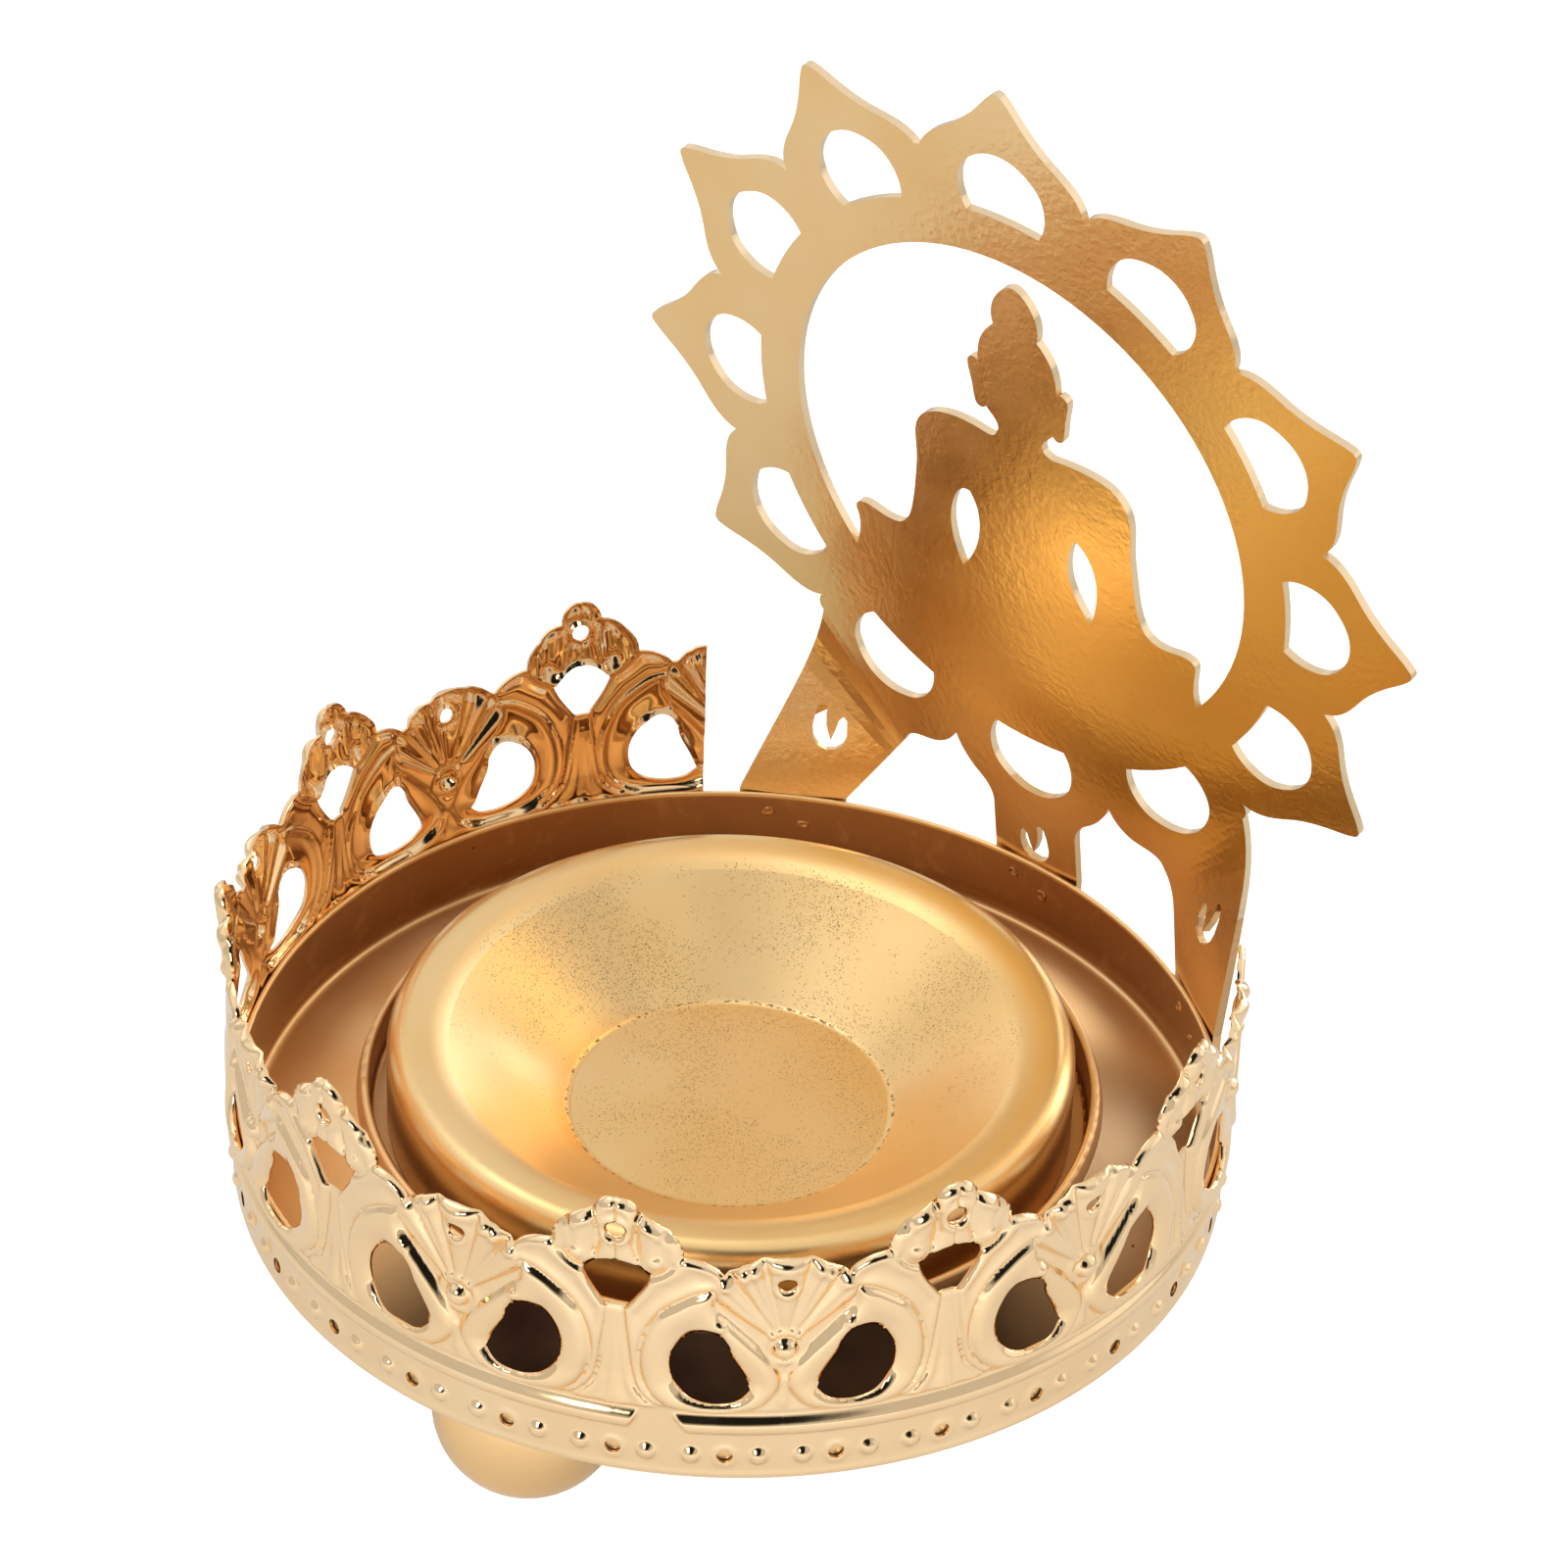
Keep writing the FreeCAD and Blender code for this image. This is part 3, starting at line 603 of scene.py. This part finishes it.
# ------------------------------------------------------------------ weld marks
WALL_R = 49.49                    # inside of the tray wall
# angle in degrees, z, radius
WELDS = [(126.0, 0.9, 0.62), (121.5, -0.4, 0.55), (93.0, 1.0, 0.55),
         (88.5, -0.3, 0.66), (60.0, 0.8, 0.6), (56.0, -0.6, 0.5)]
# rings of a crater: share of its radius, height
CRATER = [(0.35, 0.03), (0.6, 0.10), (0.8, 0.16), (0.95, 0.13), (1.12, 0.05), (1.3, -0.04)]
CRATER_FLOOR, CRATER_BACK = 0.02, 0.12
CRATER_SIDES = 20


def crater(centre, normal, radius, seed, base):
    """Vertices and faces of an uneven crater with a raised lip."""
    centre, normal = Vector(centre), Vector(normal).normalized()
    across = normal.cross(Vector((0, 0, 1))).normalized()
    upright = normal.cross(across).normalized()
    verts = [tuple((centre + normal * CRATER_FLOOR) * MM)]
    for share, height in CRATER:
        for j in range(CRATER_SIDES):
            t = 2 * math.pi * j / CRATER_SIDES
            wobble = (1 + 0.13 * math.sin(2 * t + seed) + 0.09 * math.sin(3 * t + 2.3 * seed)
                      + 0.05 * math.sin(5 * t + seed))
            p = (centre + across * (radius * share * wobble * math.cos(t))
                 + upright * (radius * share * wobble * 0.8 * math.sin(t))
                 + normal * (height * (1 + 0.3 * math.sin(3 * t + seed))))
            verts.append(tuple(p * MM))
    back = base + len(verts)
    verts.append(tuple((centre - normal * CRATER_BACK) * MM))

    sides = [(j, (j + 1) % CRATER_SIDES) for j in range(CRATER_SIDES)]
    last = back - CRATER_SIDES
    faces = [(base, base + 1 + j, base + 1 + k) for j, k in sides]
    faces += [(last + k, last + j, back) for j, k in sides]
    for ring in range(base + 1, last, CRATER_SIDES):
        faces += [(ring + j, ring + j + CRATER_SIDES, ring + k + CRATER_SIDES, ring + k)
                  for j, k in sides]
    return verts, faces


def build_welds():
    """Three pairs of small craters on the inside of the tray wall."""
    verts, faces = [], []
    for i, (degrees, z, radius) in enumerate(WELDS):
        x, y = math.cos(math.radians(degrees)), math.sin(math.radians(degrees))
        new_verts, new_faces = crater(
            (WALL_R * x, WALL_R * y, z), (-x, -y, 0), radius, 1.3 * i, len(verts))
        verts += new_verts
        faces += new_faces
    return add_object("spot_weld_marks", "welds", verts, faces)


welds = build_welds()


# ---------------------------------------------------------------- node helpers
class Nodes:
    """Shorthand for building a node tree; inputs take sockets or plain values."""

    def __init__(self, tree):
        self.tree = tree
        tree.nodes.clear()

    def feed(self, socket, value):
        if isinstance(value, bpy.types.NodeSocket):
            self.tree.links.new(value, socket)
        elif socket.type == "RGBA":
            socket.default_value = (*value, 1.0)
        else:
            socket.default_value = value

    def add(self, kind, inputs, **settings):
        node = self.tree.nodes.new(kind)
        for key, value in settings.items():
            setattr(node, key, value)
        for key, value in inputs.items():
            self.feed(node.inputs[key], value)
        return node

    def math(self, operation, *values):
        node = self.add("ShaderNodeMath", dict(enumerate(values)), operation=operation)
        return node.outputs[0]

    def plus(self, a, b):
        return self.math("ADD", a, b)

    def times(self, *factors):
        return reduce(lambda a, b: self.math("MULTIPLY", a, b), factors)

    def vector(self, operation, *values):
        node = self.add("ShaderNodeVectorMath", dict(enumerate(values)), operation=operation)
        return node.outputs["Value" if operation == "DOT_PRODUCT" else 0]

    def ramp(self, value, over, to=(0.0, 1.0)):
        inputs = dict(enumerate((value, *over, *to)))
        node = self.add("ShaderNodeMapRange", inputs, interpolation_type="SMOOTHSTEP")
        return node.outputs[0]


class Material(Nodes):
    def __init__(self, name):
        self.material = bpy.data.materials.new(name)
        self.material.use_nodes = True
        super().__init__(self.material.node_tree)
        self.output = self.add("ShaderNodeOutputMaterial", {})
        self.bsdf = self.add("ShaderNodeBsdfPrincipled", {})
        self.feed(self.output.inputs[0], self.bsdf.outputs[0])

    @cached_property
    def coord(self):
        return self.add("ShaderNodeTexCoord", {}).outputs["Object"]

    def metal(self, colour, roughness, normal):
        self.set(**{"Base Color": colour, "Metallic": 1.0,
                    "Roughness": roughness, "Normal": normal})
        return self.material

    def set(self, **inputs):
        for key, value in inputs.items():
            self.feed(self.bsdf.inputs[key], value)

    def noise(self, scale, detail=3.0, roughness=0.5, distortion=0.0):
        return self.add("ShaderNodeTexNoise", {
            "Vector": self.coord, "Scale": scale, "Detail": detail,
            "Roughness": roughness, "Distortion": distortion}).outputs[0]

    def cells(self, scale, coord):
        """Distance to the nearest cell centre, and the cell's random channels."""
        node = self.add("ShaderNodeTexVoronoi", {"Vector": coord, "Scale": scale})
        split = self.add("ShaderNodeSeparateColor", {0: node.outputs["Color"]})
        return node.outputs["Distance"], split.outputs

    def tint(self, colour, amount, to):
        return self.add("ShaderNodeMix", {0: amount, 6: colour, 7: to},
                        data_type="RGBA", blend_type="MIX").outputs[2]

    def bump(self, height, strength, depth, under=None):
        inputs = {"Strength": strength, "Distance": depth, "Height": height}
        if under is not None:
            inputs["Normal"] = under
        return self.add("ShaderNodeBump", inputs).outputs[0]

    def xyz(self):
        return self.add("ShaderNodeSeparateXYZ", {0: self.coord}).outputs

    def radius(self):
        x, y, _ = self.xyz()
        return self.length(x, y)

    def length(self, x, y):
        return self.math("SQRT", self.plus(self.times(x, x), self.times(y, y)))

    def along(self, x, y, direction):
        return self.plus(self.times(x, direction[0]), self.times(y, direction[1]))

    def patchy_roughness(self, base, scale, over):
        patches = self.ramp(self.noise(scale), over=over)
        return self.plus(self.times(patches, 0.05), base)


# ------------------------------------------------------------------- materials
def satin_gold(name, base, deep, roughness, peel, peel_scale=1400.0):
    """Gold lacquer on pressed sheet: slow colour drift, fine orange peel."""
    mat = Material(name)
    drift = mat.ramp(mat.noise(scale=38.0, detail=2.0), over=(0.35, 0.7))
    colour = mat.tint(base, drift, to=deep)
    patchy = mat.patchy_roughness(roughness, scale=160.0, over=(0.3, 0.7))
    grain = mat.noise(peel_scale, detail=2.0, roughness=0.55)
    broad = mat.noise(peel_scale * 0.28, detail=2.0)
    normal = mat.bump(grain, strength=peel, depth=0.00009)
    normal = mat.bump(broad, strength=peel * 0.4, depth=0.00016, under=normal)
    return mat, colour, patchy, normal


def pan_material():
    mat, colour, roughness, normal = satin_gold(
        "pan_gold", base=(0.97, 0.68, 0.36), deep=(0.94, 0.61, 0.28),
        roughness=0.40, peel=0.10)
    radius = mat.radius()
    x, y, z = mat.xyz()

    def facing(direction):
        """Cosine between a point's bearing and a direction."""
        return mat.math("DIVIDE", mat.along(x, y, direction), radius)

    def off_wall():
        return mat.ramp(radius, over=(0.0490, 0.0493), to=(1.0, 0.0))

    def off_well():
        return mat.ramp(radius, over=(0.0369, 0.0382))

    # painted shade: dark brown on the inside of the wall, strongest on the far side, with
    # lighter streaks
    ahead = facing((-math.sin(HEADING), math.cos(HEADING)))
    wall = mat.times(
        mat.ramp(radius, over=(0.04905, 0.04935)),
        mat.ramp(radius, over=(0.04975, 0.04985), to=(1.0, 0.0)),
        mat.ramp(z, over=(0.0025, 0.0029), to=(1.0, 0.0)),
        mat.ramp(ahead, over=(-0.3, 0.6), to=(0.30, 0.82)))
    colour = mat.tint(colour, wall, to=(0.24, 0.080, 0.028))
    streaks = mat.ramp(mat.noise(scale=240.0, detail=4.0, roughness=0.65, distortion=0.8),
                       over=(0.52, 0.70), to=(0.0, 0.35))
    colour = mat.tint(colour, mat.times(wall, streaks), to=(0.62, 0.38, 0.18))
    # painted shade: darker tan on the right of the cone
    side = mat.times(mat.ramp(facing((0.9164, 0.4003)), over=(0.82, 0.965), to=(0.0, 0.9)),
                     off_well(), off_wall())
    colour = mat.tint(colour, side, to=(0.48, 0.325, 0.19))
    # painted shade: deeper tone in the middle well
    well = mat.ramp(radius, over=(0.0366, 0.0371), to=(0.8, 0.0))
    colour = mat.tint(colour, well, to=(0.55, 0.29, 0.13))
    # painted shade: near-black on the near side of the cone
    cone = mat.times(
        off_well(), mat.ramp(facing((0.660, -0.751)), over=(0.42, 0.84)), off_wall(),
        mat.ramp(mat.noise(scale=55.0, roughness=0.55), over=(0.25, 0.7), to=(0.95, 1.0)))
    colour = mat.tint(colour, cone, to=(0.030, 0.013, 0.009))
    # fine concentric lines that fade in and out
    lines = mat.math("SINE", mat.times(radius, 5200.0))
    fade = mat.ramp(mat.noise(scale=60.0, detail=2.0), over=(0.45, 0.7))
    normal = mat.bump(mat.times(lines, fade), strength=0.05, depth=0.00003, under=normal)
    # a few dark specks
    dist, channels = mat.cells(scale=420.0, coord=mat.coord)
    chosen = mat.math("GREATER_THAN", channels[0], 0.965)
    specks = mat.times(mat.ramp(dist, over=(0.05, 0.09), to=(1.0, 0.0)), chosen)
    colour = mat.tint(colour, specks, to=(0.10, 0.05, 0.02))
    # the cone is duller than the wall
    dull = mat.times(mat.ramp(radius, over=(0.0369, 0.0376)),
                     mat.ramp(radius, over=(0.0484, 0.0491), to=(1.0, 0.0)))
    return mat.metal(colour, mat.plus(roughness, mat.times(dull, 0.13)), normal)


def dish_material():
    mat, colour, roughness, normal = satin_gold(
        "dish_gold", base=(0.93, 0.66, 0.33), deep=(0.89, 0.60, 0.26),
        roughness=0.30, peel=0.12)
    x, y, _ = mat.xyz()
    radius = mat.radius()
    # painted highlight: the left of the cone is paler
    left = mat.math("DIVIDE", mat.along(x, y, (-0.7705, -0.6374)), mat.plus(radius, 0.0005))
    left = mat.times(mat.ramp(left, over=(0.45, 0.95), to=(0.0, 0.85)),
                     mat.ramp(radius, over=(0.0168, 0.0190)),
                     mat.ramp(radius, over=(0.0285, 0.0310), to=(1.0, 0.0)))
    colour = mat.tint(colour, left, to=(0.97, 0.80, 0.46))
    # small dark specks, dense on the far side of the cone, thinner on the seat
    far = mat.ramp(mat.along(x, y, (-0.55, 0.83)), over=(-0.012, 0.022))
    seat = mat.ramp(radius, over=(0.0150, 0.0172), to=(1.0, 0.0))
    cone = mat.ramp(radius, over=(0.0280, 0.0300), to=(1.0, 0.0))
    patch = mat.ramp(mat.noise(scale=95.0, roughness=0.6), over=(0.38, 0.62))
    density = mat.times(patch, cone, mat.math("MAXIMUM", far, mat.times(seat, 0.7)))
    marks = None
    # layers of specks: scale, shift of the pattern, size within a cell
    for scale, shift, size in ((3600.0, 0.0, 0.27), (2300.0, 0.37, 0.20),
                               (5200.0, 0.71, 0.32), (4300.0, 0.13, 0.30)):
        moved = mat.vector("ADD", mat.coord, (shift, shift * 0.5, shift * 0.2))
        dist, channels = mat.cells(scale, moved)
        chosen = mat.math("LESS_THAN", channels[1], mat.times(density, 0.5))
        dot = mat.times(mat.ramp(dist, over=(size * 0.6, size), to=(1.0, 0.0)), chosen)
        marks = dot if marks is None else mat.math("MAXIMUM", marks, dot)
    # broken dark line where the seat meets the cone
    from_joint = mat.math("ABSOLUTE", mat.math("SUBTRACT", radius, 0.01662))
    joint = mat.times(mat.ramp(from_joint, over=(0.00007, 0.0002), to=(1.0, 0.0)),
                      mat.ramp(mat.noise(scale=1500.0, roughness=0.6), over=(0.5, 0.6)))
    marks = mat.math("MAXIMUM", marks, mat.times(joint, 0.9))
    # flecked patches near the middle of the seat: x, y, size
    for centre_x, centre_y, size in ((-0.0052, -0.0012, 0.0019), (-0.0010, -0.0042, 0.0020),
                                     (0.0035, -0.0012, 0.0015)):
        dist = mat.length(mat.math("SUBTRACT", x, centre_x), mat.math("SUBTRACT", y, centre_y))
        flecks = mat.times(
            mat.ramp(dist, over=(size * 0.4, size), to=(1.0, 0.0)),
            mat.ramp(mat.noise(scale=2400.0, detail=2.0, distortion=1.5), over=(0.60, 0.66)))
        marks = mat.math("MAXIMUM", marks, mat.times(flecks, 0.75))
    colour = mat.tint(colour, mat.times(marks, 0.85), to=(0.16, 0.09, 0.04))
    normal = mat.bump(marks, strength=0.35, depth=0.00004, under=normal)
    return mat.metal(colour, mat.plus(roughness, mat.times(marks, 0.25)), normal)


def panel_material():
    mat, colour, roughness, normal = satin_gold(
        "panel_gold", base=(0.93, 0.66, 0.34), deep=(0.89, 0.59, 0.26),
        roughness=0.22, peel=0.5, peel_scale=1300.0)
    lean = math.radians(8.6)
    geometry = mat.add("ShaderNodeNewGeometry", {}).outputs
    facing = mat.vector("DOT_PRODUCT", geometry["True Normal"],
                        (0.0, math.cos(lean), math.sin(lean)))
    x, _, z = mat.xyz()
    # painted light: brighter, then painted shade: browner, towards +x across a slanting line
    slant = mat.math("MULTIPLY_ADD", mat.math("SUBTRACT", z, 0.03), 0.614, -0.038)
    across = mat.math("SUBTRACT", x, slant)
    bright = mat.times(mat.ramp(across, over=(-0.006, 0.016)),
                       mat.ramp(z, over=(0.014, 0.026)))
    colour = mat.tint(colour, bright, to=(0.99, 0.67, 0.27))
    colour = mat.tint(colour, mat.ramp(across, over=(0.036, 0.060)), to=(0.69, 0.435, 0.135))
    # painted shade: browner low down, fading in from x = -16 mm to full from x = -4 mm towards
    # +x
    low = mat.times(mat.ramp(z, over=(0.010, 0.022), to=(1.0, 0.0)),
                    mat.ramp(x, over=(-0.016, -0.004), to=(1.0, 0.0))
                    if False else mat.ramp(x, over=(-0.016, -0.004)))
    colour = mat.tint(colour, low, to=(0.71, 0.44, 0.21))
    # the cut edges are paler
    edge = mat.times(
        mat.ramp(mat.math("ABSOLUTE", facing), over=(0.30, 0.62), to=(1.0, 0.0)),
        mat.math("GREATER_THAN", z, 0.014))
    colour = mat.tint(colour, mat.times(edge, 0.8), to=(0.88, 0.71, 0.50))
    # the +y face of the sheet is duller and deeper
    behind = mat.ramp(facing, over=(0.80, 0.95))
    colour = mat.tint(colour, behind, to=(0.56, 0.37, 0.17))
    return mat.metal(colour, mat.math("MULTIPLY_ADD", behind, 0.26, roughness), normal)


def band_material():
    """Bright plated strip, smooth with faint unevenness."""
    mat = Material("band_gold")
    drift = mat.ramp(mat.noise(scale=60.0, detail=2.0), over=(0.35, 0.7))
    colour = mat.tint((0.93, 0.70, 0.43), drift, to=(0.91, 0.66, 0.385))
    # painted reflection: the inner skin is deeper in tone, the amber of gold reflecting gold
    geometry = mat.add("ShaderNodeNewGeometry", {}).outputs
    flat = mat.vector("MULTIPLY", geometry["Position"], (1.0, 1.0, 0.0))
    outward = mat.vector("DOT_PRODUCT", geometry["True Normal"], mat.vector("NORMALIZE", flat))
    inner = mat.ramp(outward, over=(-0.05, 0.10), to=(1.0, 0.0))
    colour = mat.tint(colour, inner, to=(0.95, 0.635, 0.34))
    roughness = mat.patchy_roughness(0.085, scale=300.0, over=(0.4, 0.75))
    normal = mat.bump(mat.noise(scale=700.0, detail=2.0), strength=0.06, depth=0.00012)
    normal = mat.bump(mat.noise(scale=180.0, detail=2.0), strength=0.12, depth=0.0004,
                      under=normal)
    return mat.metal(colour, roughness, normal)


def plain_gold(name, **look):
    mat, *surface = satin_gold(name, **look)
    return mat.metal(*surface)


def give(obj, material):
    obj.data.materials.clear()
    obj.data.materials.append(material)


pan_gold = pan_material()
foot_gold = plain_gold("foot_gold", base=(0.95, 0.64, 0.315), deep=(0.91, 0.585, 0.255),
                       roughness=0.2, peel=0.12)
give(nodes["tray_pan"], pan_gold)
give(nodes["candle_dish"], dish_material())
give(nodes["lotus_backplate"], panel_material())
for foot in ("foot_front", "foot_right_rear", "foot_left_rear"):
    give(nodes[foot], foot_gold)
band_gold = band_material()
give(gallery, band_gold)
give(nodes["gallery_band"], band_gold)
give(welds, plain_gold("weld_scar", base=(0.56, 0.30, 0.13), deep=(0.34, 0.16, 0.06),
                       roughness=0.3, peel=0.5))

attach(gallery, "holder")
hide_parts("gallery_band")
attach(welds, "holder")


# ---------------------------------------------------------------------- studio
def floor_material():
    """Pale paper that glows to the camera and is clear from below."""
    mat = Material("floor_paper")
    seen = mat.add("ShaderNodeLightPath", {}).outputs["Is Camera Ray"]
    mat.set(**{"Base Color": (0.57, 0.566, 0.56), "Roughness": 0.75,
               "Specular IOR Level": 0.2, "Emission Color": (1.0, 1.0, 1.0),
               "Emission Strength": mat.times(seen, 0.72)})
    below = mat.add("ShaderNodeNewGeometry", {}).outputs["Backfacing"]
    clear = mat.add("ShaderNodeBsdfTransparent", {}).outputs[0]
    surface = mat.add("ShaderNodeMixShader", {0: below, 1: mat.bsdf.outputs[0], 2: clear})
    mat.feed(mat.output.inputs[0], surface.outputs[0])
    return mat.material


def build_floor(half=6.0):
    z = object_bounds()[0][2]
    material = floor_material()
    corners = [(-half, -half, z), (half, -half, z), (half, half, z), (-half, half, z)]
    obj = add_object("floor", "floor", corners, [(0, 1, 2, 3)], smooth=False)
    obj.data.materials.append(material)
    return obj


build_floor()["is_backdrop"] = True


def camera_direction(right, forward, up):
    """A level-camera direction, turned to the camera's heading."""
    ahead = Vector((-math.sin(HEADING), math.cos(HEADING), 0))
    aside = Vector((math.cos(HEADING), math.sin(HEADING), 0))
    return (aside * right + ahead * forward + Vector((0, 0, up))).normalized()


# Soft-edged round patches of the world, each laid over the ones before:
# direction (right, forward, up), inner and outer angle in degrees, strength
WORLD_LEVEL = 0.66
WORLD_PATCHES = [
    ((0.0, -0.05, 1.0), 26, 58, 0.94),      # overhead softbox
    ((0.0, 1.0, 0.30), 26, 50, 0.84),       # bright paper behind
    ((1.0, 0.10, 0.40), 18, 34, 1.1),       # right softbox
    ((0.66, 0.75, 0.24), 14.5, 28, 2.9),    # strong window, right rear
    ((-0.62, 0.78, 0.25), 12, 26, 1.2),     # window, left rear
    ((-1.0, 0.0, 1.05), 14, 30, 1.0),       # left softbox, high
    ((0.0, -1.0, 0.72), 22, 36, 0.012),     # dark behind the camera
    ((-0.42, -0.78, 0.47), 8, 13, 4.5)]     # small box, left of the camera


def build_world():
    world = bpy.data.worlds.new("studio")
    bpy.context.scene.world = world
    world.use_nodes = True
    sky = Nodes(world.node_tree)
    view = sky.add("ShaderNodeTexCoord", {}).outputs["Generated"]
    level = WORLD_LEVEL
    for direction, inner, outer, strength in WORLD_PATCHES:
        cosine = sky.vector("DOT_PRODUCT", view, camera_direction(*direction))
        mask = sky.ramp(cosine, over=(math.cos(math.radians(outer)),
                                      math.cos(math.radians(inner))))
        level = sky.add("ShaderNodeMix", {0: mask, 2: level, 3: strength},
                        data_type="FLOAT").outputs[0]
    background = sky.add("ShaderNodeBackground", {"Color": (1.0, 0.985, 0.96),
                                                  "Strength": level})
    sky.add("ShaderNodeOutputWorld", {0: background.outputs[0]})


def area_light(name, direction, away, size, power, target=(0, 0, 0.02)):
    light = bpy.data.lights.new(name, "AREA")
    light.shape = "RECTANGLE"
    light.size, light.size_y = size
    light.energy = power
    obj = bpy.data.objects.new(name, light)
    target = Vector(target)
    obj.location = target + direction * away
    obj.rotation_euler = (target - obj.location).to_track_quat("-Z", "Y").to_euler()
    bpy.context.scene.collection.objects.link(obj)
    return obj


def build_camera():
    pitch, yaw, roll = math.radians(35.777), math.radians(0.507), math.radians(2.136)
    forward = Vector((math.sin(yaw) * math.cos(pitch), math.cos(yaw) * math.cos(pitch),
                      -math.sin(pitch)))
    level = Vector((math.cos(yaw), -math.sin(yaw), 0))
    upright = level.cross(forward)
    right = level * math.cos(roll) + upright * math.sin(roll)
    up = upright * math.cos(roll) - level * math.sin(roll)
    turn = Matrix.Rotation(HEADING, 3, "Z")

    data = bpy.data.cameras.new("camera")
    data.lens = 141.16005
    data.sensor_width = 36.0
    data.clip_start = 0.01
    camera = bpy.data.objects.new("camera", data)
    axes = Matrix((turn @ right, turn @ up, -(turn @ forward))).transposed()
    placed = axes.to_4x4()
    placed.translation = turn @ Vector((0.0, -0.48856, 0.39224))
    camera.matrix_world = placed
    bpy.context.scene.collection.objects.link(camera)
    bpy.context.scene.camera = camera


build_world()
area_light("key", camera_direction(-0.35, 0.30, 1.0), away=1.0, size=(0.5, 0.5), power=0.8)
# lights the paper on the near side and stays out of the reflections
paper_light = area_light(
    "paper_front", camera_direction(0.0, -1.0, 1.0), away=0.42, size=(0.26, 0.16),
    power=2.3, target=camera_direction(0.0, -0.09, -0.02) * 0.09)
paper_light.visible_glossy = False
build_camera()
bpy.context.scene.view_settings.view_transform = "Standard"
bpy.context.scene.view_settings.look = "None"
